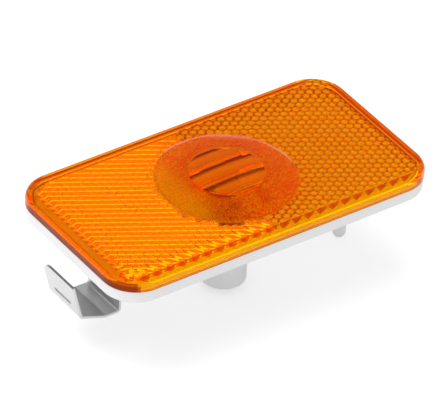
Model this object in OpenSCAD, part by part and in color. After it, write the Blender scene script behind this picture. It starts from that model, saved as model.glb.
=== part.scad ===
// Clearance lamp for the side of a vehicle. An amber lens with a reflex prism field and a raised
// lamp window is welded to a shallow grey housing. The housing carries a bulb boss, a locating pin
// and a spring clip on its back. X runs along the lamp, Y across it and Z out of the lens. The
// origin lies in the plane that seats on the vehicle's panel, at the middle of the outline. Sizes
// along Z are counted from the joint between the lens and the housing, at Z = rim_h.

/* [Outline] */
// Length over the lens
lamp_l = 120; // [112:1:132]
// Width over the lens
lamp_w = 63.5; // [60:0.5:74]
// Corner radius seen from the front
corner_r = 11.6; // [9:0.2:14]

/* [Lens] */
// Height of the lens above the joint
lens_h = 4.1; // [3.8:0.1:5]
// Radius of the rounded front edge
lens_edge_r = 2.1; // [1.6:0.1:2.6]
// Thickness of the side wall
lens_wall = 2.2; // [2:0.1:3.2]
// Thickness of the front plate
lens_plate = 1.85; // [1.4:0.05:2.2]
// Inside radius between plate and wall
lens_inner_r = 0.6; // [0.3:0.1:1]
// Width of the weld tongue under the wall
tongue_w = 0.8; // [0.6:0.1:1]
// Length of the weld tongue
tongue_h = 1.1; // [0.8:0.1:1.4]

/* [Lamp window] */
// Radius of the raised round window
dome_r = 22.8; // [21:0.1:24]
// Width of the window's rounded shoulder
dome_shoulder_w = 1.75; // [1.2:0.05:2.4]
// Rounding radius of the shoulder
dome_shoulder_r = 10; // [8:0.5:14]
// Radius of the spherical cap inside the shoulder
dome_cap_r = 70; // [60:1:90]
// Wall of the window at its middle
dome_wall = 2; // [1.6:0.1:2.4]
// Inner radius of the window at the underside of the plate
dome_in_r = 21.2; // [19.6:0.1:21.4]
// Radius of the fluted optic
optic_r = 12; // [10:0.5:13]
// Height of the optic's rim above the joint
optic_z = 4.9; // [4.6:0.1:5.4]
// Width of one flute
flute_pitch = 7.7; // [7:0.1:7.9]
// Depth of one flute
flute_depth = 1.3; // [0.8:0.1:1.6]

/* [Reflex prisms] */
// Distance between prisms, across the flats
prism_pitch = 2.7; // [2.4:0.02:3.2]
// Smooth border on the long sides
field_margin_y = 3.9; // [3.6:0.1:6]
// Smooth border on the short ends
field_margin_x = 4.1; // [3.8:0.1:6]
// Space kept free round the window
field_window_gap = 0.4; // [0.2:0.1:2]
// Solid layer between plate and prisms
prism_root = 0.15; // [0.1:0.05:0.4]
// Slot between the two halves of the field
field_split = 0.1; // [0.1:0.1:1]
// Place of that slot along the lamp
field_split_x = -1.2; // [-3:0.1:3]

/* [Housing] */
// Step in from the lens edge
housing_inset = 0.27; // [0.1:0.05:0.8]
// Depth of the rim behind the joint
rim_h = 4.45; // [4:0.1:6]
// Thickness of the rim wall
rim_wall = 2.33; // [2:0.1:3]
// Thickness of the back wall
back_t = 1.8; // [1.4:0.1:2.2]
// Radius of the back edge
rim_edge_r = 0.6; // [0.3:0.1:1]
// Outer radius of the lamp bowl
bowl_r = 24; // [22:0.5:26]
// Height of the bowl's centre above the joint
bowl_z = 6; // [5:0.5:8]
// Wall of the bowl
bowl_wall = 1.8; // [1.4:0.1:2.2]
// Clearance of the weld tongue in its groove
weld_gap = 0.05; // [0.03:0.01:0.1]
// Seam between the lens wall and the rim
seam_gap = 0.04; // [0.02:0.01:0.1]

/* [Bulb boss] */
// Offset of the boss from the middle
boss_x = 0.9; // [0:0.1:2]
// Outer radius of the boss
boss_r = 7.55; // [7.2:0.05:9]
// Wall of the boss
boss_wall = 1.4; // [1.2:0.1:1.6]
// Distance of the boss's end behind the joint
boss_end = 35.4; // [33:0.2:40]
// Radius of the boss's end edge
boss_edge_r = 0.7; // [0.3:0.1:1]
// Inner radius of the lip that stops the holder
lip_r = 5.3; // [5.2:0.05:5.6]
// Thickness of the lip
lip_t = 1.2; // [1:0.1:2]
// Width of the key rib outside the boss
key_w = 1.2; // [0.8:0.1:2]
// Height of the key rib off the boss
key_h = 0.5; // [0.3:0.1:1]
// Distance from the key rib to the boss's end
key_up = 2.6; // [1:0.2:5]
// Direction of the key rib round the boss
key_angle = -135; // [-180:5:180]

/* [Locating pin] */
// Distance of the pin from the lens's far end
pin_inset = 13.5; // [13:0.5:16]
// Radius of the pin
pin_r = 2.15; // [1.8:0.05:3]
// Distance of the pin's tip behind the joint
pin_end = 37.6; // [34:0.2:42]
// Height of the pin's root cone
pin_root_h = 3; // [2:0.5:5]

/* [Spring clip] */
// Thickness of the spring sheet
clip_t = 0.8; // [0.6:0.1:1]
// Width of the clip
clip_w = 17.2; // [15:0.2:20]
// Distance of the upright leg from the lens's near end
clip_inset = 14.7; // [13.5:0.1:16]
// Depth of the clip's lower bend behind the joint
clip_deep = 24.9; // [22:0.1:28]
// Length of the foot under the housing
foot_l = 13; // [11:0.5:15]
// Clearance round the foot in its pocket
clip_side_gap = 0.2; // [0.1:0.05:0.4]
// Length of the flat step at the bottom
step_l = 5.2; // [4:0.1:7]
// Rise of the ramp towards the tongue
ramp_rise = 3.2; // [2:0.1:5]
// Reach of the ramp
ramp_l = 8.9; // [7:0.1:11]
// Height of the spring tongue
tongue_up = 13; // [11:0.2:15]
// Lean of the spring tongue outwards
tongue_out = 3.6; // [2:0.1:6]
// Middle radius of the clip's sharp bends
clip_bend_r = 1; // [0.9:0.1:1.4]
// Middle radius of the bend between step and ramp
ramp_bend_r = 4; // [2:0.5:6]
// Radius of the tongue's far corner
tongue_corner_r = 4.8; // [1:0.2:6]
// Radius of the tongue's near corner
near_corner_r = 0.6; // [0.4:0.1:2]
// Length of the slot in the tongue
slot_l = 9; // [6:0.5:11]
// Width of the slot
slot_w = 1.5; // [1:0.1:2.4]
// Height of the slot above the lower bend
slot_up = 3.8; // [3:0.1:6]
// Clearance of the screws in the foot
foot_hole_gap = 0.3; // [0.2:0.05:0.4]

/* [Clip screws] */
// Distance between the two screws
screw_gap = 9.6; // [9:0.2:10]
// Distance from the upright leg to the screws
screw_in = 7; // [6:0.5:8]
// Radius of the screw thread
screw_r = 1.1; // [1:0.05:1.4]
// Radius of the screw head
screw_head_r = 2.3; // [2:0.1:2.6]
// Height of the screw head
screw_head_h = 1.5; // [1.2:0.1:2]
// Length of the screw below its head
screw_l = 3.4; // [2.8:0.1:3.4]
// Clearance between thread and pilot hole
screw_fit = 0.02; // [0.01:0.01:0.05]
// Space under the screw's tip
screw_tip_gap = 0.2; // [0.1:0.05:0.3]
// Width of the cross recess
cross_w = 0.6; // [0.4:0.1:0.8]
// Depth of the cross recess
cross_deep = 0.9; // [0.6:0.1:1]
// Height of the screw bosses inside
screw_boss_h = 1.9; // [1.5:0.1:2]

/* [Bulb] */
// Radius of the glass bulb
bulb_r = 4.9; // [4.6:0.05:5]
// Height of the bulb's tip above the joint
bulb_tip = 0.6; // [-1:0.2:1.4]
// Whole length of the bulb
bulb_l = 26.8; // [26:0.2:28]
// Thickness of the glass
glass_t = 0.6; // [0.5:0.05:0.8]
// Height of the pressed wedge base
wedge_h = 6.5; // [6:0.1:7]
// Width of the wedge base
wedge_w = 8.6; // [8:0.1:9]
// Thickness of the wedge base
wedge_t = 2.3; // [2:0.1:2.5]
// Radius of the lead wires
wire_r = 0.25; // [0.2:0.05:0.3]
// Distance between the lead wires
wire_gap = 5; // [4.4:0.2:5.6]
// Clearance of the lead wires in the pressed glass
wire_fit = 0.02; // [0.01:0.01:0.05]
// Length of the wires folded up the wedge
wire_fold = 3.6; // [3:0.2:4.4]
// Height of the filament above the wedge
filament_up = 12.7; // [11:0.1:14]
// Outer radius of the filament coil
coil_r = 0.45; // [0.3:0.05:0.6]
// Turns of the filament
coil_turns = 9; // [6:1:12]
// Radius of the filament wire
coil_wire_r = 0.08; // [0.06:0.01:0.1]

/* [Bulb holder] */
// Clearance between holder and bore
holder_gap = 0.2; // [0.1:0.05:0.3]
// How far the holder's end stands inside the boss
holder_recess = 0.4; // [0.2:0.1:1]
// Depth of the connector socket
socket_h = 5.6; // [5.2:0.2:5.8]
// Radius of the connector socket
socket_r = 4.4; // [4.2:0.1:4.4]
// Length of the holder
holder_l = 16.4; // [16:0.2:18]
// Thickness of the web between socket and bulb
web_t = 2.2; // [2:0.1:2.4]
// Cross-section radius of the sealing ring
ring_r = 0.75; // [0.6:0.05:0.8]
// Clearance of the sealing ring in its groove
ring_gap = 0.1; // [0.05:0.01:0.15]
// Clearance of the sealing ring in the bore
ring_fit = 0.02; // [0.01:0.01:0.05]
// Height of the bayonet lugs
lug_h = 1.6; // [1.2:0.1:2]
// Reach of the bayonet lugs
lug_out = 0.5; // [0.3:0.05:0.7]
// Distance of the lugs from the holder's end
lug_up = 4.2; // [3:0.2:6]
// Width of the bayonet lugs
lug_w = 3; // [2:0.2:4]
// Turn of the lugs past their entry grooves
lug_turn = 60; // [50:5:90]
// Thickness of the contact strips
contact_t = 0.6; // [0.4:0.1:0.8]
// Width of the contact strips
contact_w = 2.8; // [2.4:0.1:3.4]
// Distance between the two blades
blade_gap = 5.2; // [4.8:0.1:5.6]
// Clearance round the contact strips
contact_gap = 0.05; // [0.03:0.01:0.1]
// Height of the foot that joins the blade and the spring
contact_foot_h = 0.8; // [0.6:0.1:1]
// Clearance under the foot
contact_foot_up = 0.1; // [0.05:0.05:0.2]
// Distance of the spring's end below the top of the wedge
contact_low = 0.6; // [0.4:0.1:1]
// Flare of the spring's end
contact_flare = 0.7; // [0.4:0.1:0.8]
// Distance of the blades' ends inside the holder's end
blade_in = 0.8; // [0.4:0.1:1.4]
// Clearance of the bulb in the holder
bulb_gap = 0.15; // [0.1:0.01:0.2]

/* [Hidden] */
$fn = 64;
// Overlap that joins two forms of one piece, and how far a cut runs past the face it opens
tiny = 0.01;
over = 1;

// Lens and window
plate_z = lens_h - lens_plate;
// The shoulder's arc starts on the face at dome_r and runs smoothly into the cap at cap_base_r
cap_base_r = dome_r - dome_shoulder_w;
cap_lean = asin(cap_base_r / dome_cap_r);
shoulder_x = cap_base_r - dome_shoulder_r * sin(cap_lean);
shoulder_z = lens_h - sqrt(pow(dome_shoulder_r, 2) - pow(dome_r - shoulder_x, 2));
cap_z = shoulder_z - (dome_cap_r - dome_shoulder_r) * cos(cap_lean);
cap_top = cap_z + dome_cap_r;
// The hollow is a flatter cap that runs out at the underside of the plate
hollow_rise = cap_top - dome_wall - plate_z;
hollow_r = (dome_in_r * dome_in_r + hollow_rise * hollow_rise) / (2 * hollow_rise);
hollow_z = cap_top - dome_wall - hollow_r;
flute_radius = (flute_pitch * flute_pitch / 4 + flute_depth * flute_depth) / (2 * flute_depth);
tongue_in = (lens_wall - housing_inset - tongue_w) / 2;
tongue_x = corner_r - housing_inset - tongue_in - tongue_w;

// Prism lattice: every corner lies on a grid of hex_u along X and half a pitch along Y
hex_u = prism_pitch / (2 * sqrt(3));
half_pitch = prism_pitch / 2;
prism_drop = prism_pitch / sqrt(6);
prism_z = plate_z - prism_root;
// How far the prisms' block runs into the plate
prism_sink = 0.25;
prism_top = plate_z + prism_sink;
rows = floor((lamp_w - 2 * field_margin_y - half_pitch) / prism_pitch);
field_half = (rows + 0.5) * half_pitch;
field_hole_r = dome_r + field_window_gap;

// Housing
rim_r = corner_r - housing_inset;
rim_l = lamp_l - 2 * housing_inset;
rim_w = lamp_w - 2 * housing_inset;
bowl_in_r = bowl_r - bowl_wall;
back_z = -rim_h;
floor_z = -rim_h + back_t;
bore_r = boss_r - boss_wall;
pin_x = lamp_l / 2 - pin_inset;
lip_z = -boss_end + holder_recess + holder_l;

// Clip, as corner points of the sheet's middle in the XZ plane. Its foot lies flush in a pocket.
clip_x = lamp_l / 2 - clip_inset;
clip_mid_x = -clip_x + clip_t / 2;
clip_mid_z = -clip_deep - clip_t / 2;
tongue_low = [-clip_x - step_l - ramp_l, clip_mid_z + ramp_rise];
tongue_tip = tongue_low + [-tongue_out, tongue_up];
tongue_lean = atan2(tongue_out, tongue_up);
clip_path = [[-clip_x + foot_l, back_z + clip_t / 2], [clip_mid_x, back_z + clip_t / 2],
    [clip_mid_x, clip_mid_z], [-clip_x - step_l, clip_mid_z], tongue_low, tongue_tip];
clip_bends = [clip_bend_r, clip_bend_r, ramp_bend_r, clip_bend_r];
screw_x = -clip_x + screw_in;
screw_places = [[screw_x, -screw_gap / 2], [screw_x, screw_gap / 2]];
shank_r = screw_r - screw_fit;
screw_dome_r = (screw_head_r * screw_head_r + screw_head_h * screw_head_h) / (2 * screw_head_h);

// Bulb
bulb_low = bulb_tip - bulb_l;
wedge_top = bulb_low + wedge_h;
glass_z = wedge_top + bulb_r;
filament_z = wedge_top + filament_up;
wire_low = bulb_low - wire_r;

// Holder
holder_r = bore_r - holder_gap;
holder_low = -boss_end + holder_recess;
holder_top = lip_z;
socket_top = holder_low + socket_h;
web_top = socket_top + web_t;
ring_z = socket_top + web_t / 2;
ring_mid_r = bore_r - ring_fit - ring_r;
blade_x = blade_gap / 2 + contact_t / 2;
spring_x = wedge_t / 2 + 2 * wire_r + contact_t / 2 + contact_gap;
contact_top = wedge_top - contact_low;
foot_top = web_top + contact_foot_up + contact_foot_h;
spring_y = wire_gap / 2;
// Contact spring's middle, in the XZ plane
spring_path = [[blade_x, foot_top - contact_foot_h], [blade_x, foot_top],
    [spring_x, (foot_top + contact_top) / 2], [spring_x + contact_flare, contact_top]];
spring_bends = [contact_t, contact_t];

// Sweeps a profile round a rectangle with round corners. The profile's X is the distance out from
// the corner centres, its Y is the height.
module sweep_round(l, w, r) {
    for (corner = [[1, 1, 0], [-1, 1, 90], [-1, -1, 180], [1, -1, 270]])
        translate([corner[0] * (l / 2 - r), corner[1] * (w / 2 - r), 0])
            rotate([0, 0, corner[2]])
                rotate_extrude(angle = 90)
                    children();
    for (side = [[l / 2 - r, w - 2 * r, 0], [w / 2 - r, l - 2 * r, 90],
                 [l / 2 - r, w - 2 * r, 180], [w / 2 - r, l - 2 * r, 270]])
        rotate([0, 0, side[2]])
            translate([side[0], side[1] / 2, 0])
                rotate([90, 0, 0])
                    linear_extrude(side[1])
                        children();
}

// A rectangle from the origin with its far upper corner rounded
module round_corner(w, h, r) {
    square([w - r, h]);
    square([w, h - r]);
    translate([w - r, h - r])
        circle(r);
}

module lens_profile() {
    intersection() {
        square([corner_r, lens_h]);
        difference() {
            round_corner(corner_r, lens_h, lens_edge_r);
            translate([-over, -lens_h])
                round_corner(corner_r - lens_wall + over, lens_h + plate_z, lens_inner_r);
        }
    }
    translate([tongue_x, -tongue_h])
        square([tongue_w, tongue_h + tiny]);
}

// Prism columns of the half that starts at a place along X, and the place of their centre lines
function columns(start) = floor((lamp_l / 2 - field_margin_x - hex_u - start) / (3 * hex_u));
function column_x(k, start) = start + (1.5 + 3 * k) * hex_u;
// Height across the field of a row, counted in half pitches from the near edge
function row_y(j) = j * half_pitch - field_half;
// How far a point lies beyond the inner corner of the rim
function beyond_corner(x, y) =
    norm([max(0, x - lamp_l / 2 + corner_r), max(0, abs(y) - lamp_w / 2 + corner_r)])
    - (corner_r - lens_wall - lens_inner_r);
// Tells whether the lattice has a prism at a column and row: parity sets which columns are offset
function has_prism(k, j, start, parity) =
    k >= 0 && k < columns(start) && j >= 0 && j <= 2 * rows + 1
    && (k + j + parity) % 2 == 1
    && norm([column_x(k, start), row_y(j)]) > field_hole_r
    && beyond_corner(column_x(k, start) + 2 * hex_u, row_y(j)) < 0;

// Corner offsets of one prism on a grid of half hex_u by half pitch, with their depth steps
HEX = [[4, 0, 1], [2, 1, 0], [-2, 1, 1], [-4, 0, 0], [-2, -1, 1], [2, -1, 0]];
// Column and row steps to the prism beyond each of the six sides
BESIDE = [[1, 1], [0, 2], [-1, 1], [-1, -1], [0, -2], [1, -1]];

// One half of the field, on the +X side. Each prism is a cube corner: three square faces that
// meet at a peak turned away from the front. Prisms on the long edges are cut through their peak.
module prism_half(start, parity) {
    cells = [for (k = [0:columns(start) - 1]) for (j = [0:2 * rows + 1])
        if (has_prism(k, j, start, parity)) [k, j]];
    // Fourteen points a prism: the peak, six corners, then the same seven at the plate
    points = [for (cell = cells) for (level = [0, 1]) for (c = concat([[0, 0, 2]], HEX))
        [column_x(cell[0], start) + c[0] * hex_u / 2, row_y(cell[1] + c[1]),
         level == 1 ? prism_top : prism_z - c[2] * prism_drop]];
    faces = [for (i = [0:len(cells) - 1])
        let (k = cells[i][0], j = cells[i][1], o = 14 * i,
             low = j == 0, high = j == 2 * rows + 1,
             // Sides that remain, as numbers of the corner where each starts
             sides = low ? [0, 1, 2] : high ? [3, 4, 5] : [0, 1, 2, 3, 4, 5])
        each concat(
            low ? [[o, o + 1, o + 2, o + 3], [o, o + 3, o + 4]]
                : high ? [[o, o + 4, o + 5], [o, o + 5, o + 6, o + 1]]
                : [[o, o + 1, o + 2, o + 3], [o, o + 3, o + 4, o + 5], [o, o + 5, o + 6, o + 1]],
            low ? [[o + 7, o + 11, o + 10, o + 9, o + 8]]
                : high ? [[o + 7, o + 8, o + 13, o + 12, o + 11]]
                : [[o + 13, o + 12, o + 11, o + 10, o + 9, o + 8]],
            [for (n = sides)
                if (!has_prism(k + BESIDE[n][0], j + BESIDE[n][1], start, parity))
                    [o + 1 + n, o + 8 + n, o + 8 + (n + 1) % 6, o + 1 + (n + 1) % 6]],
            low ? [[o, o + 7, o + 8, o + 1], [o + 4, o + 11, o + 7, o]]
                : high ? [[o, o + 1, o + 8, o + 7], [o + 4, o, o + 7, o + 11]] : [])];
    polyhedron(points, faces);
}

// Half of the window's outer section, a shallow cap that runs into a rounded shoulder
module window_section() {
    intersection() {
        translate([0, cap_z])
            circle(dome_cap_r);
        translate([0, plate_z])
            square([cap_base_r, cap_top]);
    }
    intersection() {
        translate([shoulder_x, shoulder_z])
            circle(dome_shoulder_r);
        translate([cap_base_r - tiny, plate_z])
            square([dome_r, cap_top]);
    }
}

// Half of the hollow under the window
module window_hollow() {
    intersection() {
        translate([0, hollow_z])
            circle(hollow_r);
        translate([0, plate_z - over])
            square([dome_r, cap_top]);
    }
}

// The fluted optic in the middle of the window: three cylinder lenses that run along X
module optic() {
    optic_low = optic_z - flute_depth;
    optic_top = cap_top - 0.75 * dome_wall;
    intersection() {
        translate([0, 0, optic_low])
            cylinder(r = optic_r, h = optic_top - optic_low);
        union() {
            translate([-optic_r - over, -optic_r - over, optic_z])
                cube([2 * (optic_r + over), 2 * (optic_r + over), lens_h]);
            for (i = [-1:1])
                translate([-optic_r - over, i * flute_pitch, optic_low + flute_radius])
                    rotate([0, 90, 0])
                        cylinder(r = flute_radius, h = 2 * (optic_r + over));
        }
    }
}

module lens() {
    color([1, 0.5, 0.05, 0.85])
    translate([0, 0, rim_h]) {
        difference() {
            union() {
                sweep_round(lamp_l, lamp_w, corner_r)
                    lens_profile();
                translate([-lamp_l / 2 + corner_r, -lamp_w / 2 + corner_r, plate_z])
                    cube([lamp_l - 2 * corner_r, lamp_w - 2 * corner_r, lens_plate]);
                rotate_extrude()
                    window_section();
            }
            rotate_extrude()
                window_hollow();
        }
        optic();
        prism_half(field_split / 2 + field_split_x, 0);
        mirror([1, 0, 0])
            prism_half(field_split / 2 - field_split_x, 1);
    }
}

// Section of the housing's rim and of the back wall up to the corner centres
module rim_section() {
    difference() {
        translate([0, -seam_gap])
            mirror([0, 1])
                round_corner(rim_r, rim_h - seam_gap, rim_edge_r);
        translate([-over, floor_z])
            square([rim_r - rim_wall + over, rim_h]);
        translate([tongue_x - weld_gap, -tongue_h - weld_gap])
            square([tongue_w + 2 * weld_gap, tongue_h + over]);
    }
}

// Half of the boss's section, from the bowl down to its rounded end
module boss_section() {
    translate([0, -boss_end])
        square([boss_r - boss_edge_r, boss_end + bowl_z - bowl_r + bowl_wall]);
    translate([0, -boss_end + boss_edge_r])
        square([boss_r, boss_end - boss_edge_r + bowl_z - bowl_r + 2 * bowl_wall]);
    translate([boss_r - boss_edge_r, -boss_end + boss_edge_r])
        circle(boss_edge_r);
}

// The rounded locating pin with a root cone on the back wall
module pin() {
    translate([pin_x, 0, -pin_end + pin_r]) {
        sphere(pin_r);
        cylinder(r = pin_r, h = pin_end - pin_r + floor_z - tiny);
    }
    translate([pin_x, 0, back_z - pin_root_h])
        cylinder(r1 = pin_r, r2 = 2 * pin_r, h = pin_root_h + back_t / 2);
}

// Bayonet track in the boss's bore: two entry grooves and a ring groove, with the lugs' clearance
module bayonet_track() {
    track_r = holder_r + lug_out + holder_gap;
    translate([0, 0, holder_low + lug_up - holder_gap])
        cylinder(r = track_r, h = lug_h + 2 * holder_gap);
    intersection() {
        translate([0, 0, -boss_end - over])
            cylinder(r = track_r, h = over + holder_recess + lug_up + lug_h);
        translate([-track_r, -lug_w / 2 - holder_gap, -boss_end - over])
            cube([2 * track_r, lug_w + 2 * holder_gap, boss_end]);
    }
}

module housing() {
    color([0.86, 0.86, 0.86])
    translate([0, 0, rim_h])
    difference() {
        union() {
            sweep_round(rim_l, rim_w, rim_r)
                rim_section();
            translate([-rim_l / 2 + rim_r, -rim_w / 2 + rim_r, back_z])
                cube([rim_l - 2 * rim_r, rim_w - 2 * rim_r, back_t]);
            intersection() {
                translate([boss_x, 0, bowl_z])
                    sphere(bowl_r);
                translate([-lamp_l, -lamp_l, -lamp_l])
                    cube([2 * lamp_l, 2 * lamp_l, lamp_l + floor_z - tiny]);
            }
            translate([boss_x, 0, 0])
                rotate_extrude()
                    boss_section();
            translate([boss_x, 0, 0])
                rotate([0, 0, key_angle])
                    translate([bore_r + boss_wall / 2, -key_w / 2, -boss_end + key_up])
                        cube([boss_wall / 2 + key_h, key_w, boss_end - key_up + bowl_z - bowl_in_r]);
            pin();
            for (place = screw_places)
                translate([place[0], place[1], floor_z - tiny])
                    cylinder(r = 2 * screw_r, h = screw_boss_h);
        }
        intersection() {
            translate([boss_x, 0, bowl_z])
                sphere(bowl_in_r);
            translate([-lamp_l, -lamp_l, -lamp_l])
                cube([2 * lamp_l, 2 * lamp_l, lamp_l]);
        }
        translate([boss_x, 0, 0]) {
            translate([0, 0, -boss_end - over])
                cylinder(r = bore_r, h = over + boss_end + lip_z);
            translate([0, 0, lip_z - over])
                cylinder(r = lip_r, h = lip_t + 2 * over);
            translate([0, 0, lip_z + lip_t])
                cylinder(r = bore_r, h = bowl_z - bowl_in_r / 2 - lip_z - lip_t);
            bayonet_track();
        }
        // Pocket that keeps the clip's foot flush and stops it from turning
        translate([-clip_x - clip_side_gap, -clip_w / 2 - clip_side_gap, back_z - over])
            cube([foot_l + 2 * clip_side_gap, clip_w + 2 * clip_side_gap, over + clip_t]);
        for (place = screw_places)
            translate([place[0], place[1], back_z])
                cylinder(r = screw_r, h = screw_l + screw_tip_gap);
    }
}

// Direction of the line from a to b, and the turn between two directions
function heading(a, b) = atan2(b[1] - a[1], b[0] - a[0]);
function turn(from, to) = (to - from + 540) % 360 - 180;
// Points with their headings round a bend at b, on the way from a to c
function bend(a, b, c, r, steps = 6) =
    let (h = heading(a, b), dh = turn(h, heading(b, c)), s = sign(dh),
         start = b - r * tan(abs(dh) / 2) * [cos(h), sin(h)],
         middle = start + s * r * [-sin(h), cos(h)])
    [for (i = [0:steps]) let (g = h + dh * i / steps) [middle + s * r * [sin(g), -cos(g)], g]];
// Points with their headings along the middle of a bent sheet
function sheet_line(path, radii) = let (last = len(path) - 1) concat(
    [[path[0], heading(path[0], path[1])]],
    [for (i = [1:last - 1]) each bend(path[i - 1], path[i], path[i + 1], radii[i - 1])],
    [[path[last], heading(path[last - 1], path[last])]]);
function beside(point, off) = point[0] + off * [-sin(point[1]), cos(point[1])];

// A bent sheet that stands in the XZ plane and is as wide as w along Y
module bent_sheet(path, radii, t, w) {
    line = sheet_line(path, radii);
    count = len(line);
    translate([0, w / 2, 0])
        rotate([90, 0, 0])
            linear_extrude(w)
                polygon([for (p = line) beside(p, t / 2),
                         for (i = [count - 1:-1:0]) beside(line[i], -t / 2)]);
}

// What is cut away to round an upper corner of the tongue, at its edge along Y
module corner_cut(y, r) {
    side = sign(y);
    difference() {
        translate([-2 * clip_t, side > 0 ? y - r : y - over, -r])
            cube([4 * clip_t, r + over, r + over]);
        translate([-3 * clip_t, y - side * r, -r])
            rotate([0, 90, 0])
                cylinder(r = r, h = 6 * clip_t);
    }
}

module spring_clip() {
    color([0.82, 0.82, 0.82])
    translate([0, 0, rim_h])
    difference() {
        bent_sheet(clip_path, clip_bends, clip_t, clip_w);
        translate([tongue_tip[0], 0, tongue_tip[1]])
            rotate([0, -tongue_lean, 0]) {
                corner_cut(clip_w / 2, tongue_corner_r);
                corner_cut(-clip_w / 2, near_corner_r);
                translate([0, 0, slot_up - norm([tongue_out, tongue_up])])
                    rotate([0, 90, 0]) {
                        for (y = [-1, 1])
                            translate([0, y * (slot_l - slot_w) / 2, -clip_t])
                                cylinder(r = slot_w / 2, h = 2 * clip_t);
                        translate([-slot_w / 2, -(slot_l - slot_w) / 2, -clip_t])
                            cube([slot_w, slot_l - slot_w, 2 * clip_t]);
                    }
            }
        for (place = screw_places)
            translate([place[0], place[1], back_z - clip_t])
                cylinder(r = screw_r + foot_hole_gap, h = 3 * clip_t);
    }
}

module clip_screws() {
    color([0.6, 0.6, 0.62])
    for (place = screw_places)
        translate([place[0], place[1], 0])
            difference() {
                union() {
                    rotate_extrude() {
                        intersection() {
                            translate([0, screw_dome_r - screw_head_h])
                                circle(screw_dome_r);
                            translate([0, -screw_head_h])
                                square([screw_head_r, screw_head_h]);
                        }
                    }
                    cylinder(r = shank_r, h = screw_l - shank_r);
                    translate([0, 0, screw_l - shank_r])
                        cylinder(r1 = shank_r, r2 = shank_r / 3, h = shank_r);
                }
                for (a = [45, 135])
                    rotate([0, 0, a])
                        translate([-screw_head_r / 2, -cross_w / 2, -screw_head_h - over])
                            cube([screw_head_r, cross_w, over + cross_deep]);
            }
}

// The round part of the glass, with its radius less the wall for the hollow
module glass_form(r) {
    translate([0, 0, glass_z])
        sphere(r);
    translate([0, 0, glass_z])
        cylinder(r = r, h = bulb_tip - bulb_r - glass_z);
    translate([0, 0, bulb_tip - bulb_r])
        sphere(r);
}

module bulb_glass() {
    color([0.9, 0.93, 0.95, 0.4])
    translate([boss_x, 0, rim_h])
    difference() {
        union() {
            glass_form(bulb_r);
            translate([-wedge_t / 2, -wedge_w / 2, bulb_low])
                cube([wedge_t, wedge_w, wedge_h + bulb_r / 2]);
        }
        glass_form(bulb_r - glass_t);
        for (y = [-wire_gap / 2, wire_gap / 2])
            translate([0, y, bulb_low - over])
                cylinder(r = wire_r + wire_fit, h = over + wedge_h + bulb_r);
    }
}

// A lead wire: up through the pressed glass to the filament, and folded up one face of the wedge
module lead_wire(side) {
    fold_x = -side * (wedge_t / 2 + wire_r);
    translate([boss_x, -side * wire_gap / 2, rim_h]) {
        translate([0, 0, wire_low])
            cylinder(r = wire_r, h = filament_z + 2 * coil_r - wire_low);
        translate([0, 0, wire_low])
            sphere(wire_r);
        translate([min(fold_x, 0), 0, wire_low])
            rotate([0, 90, 0])
                cylinder(r = wire_r, h = abs(fold_x));
        translate([fold_x, 0, wire_low]) {
            sphere(wire_r);
            cylinder(r = wire_r, h = wire_fold);
        }
    }
}

module lead_wire_left() {
    color([0.75, 0.75, 0.76])
        lead_wire(1);
}

module lead_wire_right() {
    color([0.75, 0.75, 0.76])
        lead_wire(-1);
}

// A coil along Y between the two lead wires, as one tube of five sides
module filament() {
    steps = 10;
    sides = 5;
    span = wire_gap - 2 * wire_r - 2 * coil_wire_r;
    rings = coil_turns * steps;
    function turn_angle(i) = 360 * i / steps;
    function coil_point(i, s) =
        let (out = coil_r + coil_wire_r * cos(360 * s / sides))
        [out * sin(turn_angle(i)),
         span * (i / rings - 0.5) + coil_wire_r * sin(360 * s / sides),
         out * cos(turn_angle(i))];
    points = [for (i = [0:rings]) for (s = [0:sides - 1]) coil_point(i, s)];
    faces = [for (i = [0:rings - 1]) for (s = [0:sides - 1])
        [i * sides + s, i * sides + (s + 1) % sides,
         (i + 1) * sides + (s + 1) % sides, (i + 1) * sides + s]];
    color([0.35, 0.35, 0.36])
    translate([boss_x, 0, rim_h + filament_z])
        polyhedron(points, concat(faces, [[for (s = [sides - 1:-1:0]) s]],
                                  [[for (s = [0:sides - 1]) rings * sides + s]]));
}

// The space that one contact takes in the holder, on the +X side
module contact_room() {
    room_t = contact_t + 2 * contact_gap;
    room_w = contact_w + 2 * contact_gap;
    translate([blade_x - room_t / 2, -room_w / 2, holder_low])
        cube([room_t, room_w, web_top + tiny - holder_low]);
    translate([wedge_t / 2, spring_y - room_w / 2, web_top])
        cube([blade_x + room_t / 2 - wedge_t / 2, room_w, holder_top - web_top + over]);
    translate([blade_x - room_t / 2, -room_w / 2, web_top])
        cube([room_t, spring_y + room_w, contact_foot_h + 2 * contact_foot_up]);
}

module bulb_holder() {
    color([0.15, 0.15, 0.16])
    translate([boss_x, 0, rim_h])
    difference() {
        union() {
            translate([0, 0, holder_low])
                cylinder(r = holder_r, h = holder_top - holder_low);
            intersection() {
                translate([0, 0, holder_low + lug_up])
                    cylinder(r = holder_r + lug_out, h = lug_h);
                rotate([0, 0, lug_turn])
                    translate([-boss_r, -lug_w / 2, holder_low])
                        cube([2 * boss_r, lug_w, holder_l]);
            }
        }
        translate([0, 0, holder_low - over])
            cylinder(r = socket_r, h = over + socket_h);
        difference() {
            translate([0, 0, ring_z - ring_r - ring_gap])
                cylinder(r = holder_r + over, h = 2 * (ring_r + ring_gap));
            translate([0, 0, ring_z - 2 * ring_r])
                cylinder(r = ring_mid_r - ring_r - ring_gap / 2, h = 4 * ring_r);
        }
        translate([-wedge_t / 2 - bulb_gap, -wedge_w / 2 - bulb_gap, web_top])
            cube([wedge_t + 2 * bulb_gap, wedge_w + 2 * bulb_gap, holder_l]);
        translate([0, 0, glass_z])
            sphere(bulb_r + bulb_gap);
        contact_room();
        rotate([0, 0, 180])
            contact_room();
    }
}

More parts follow.
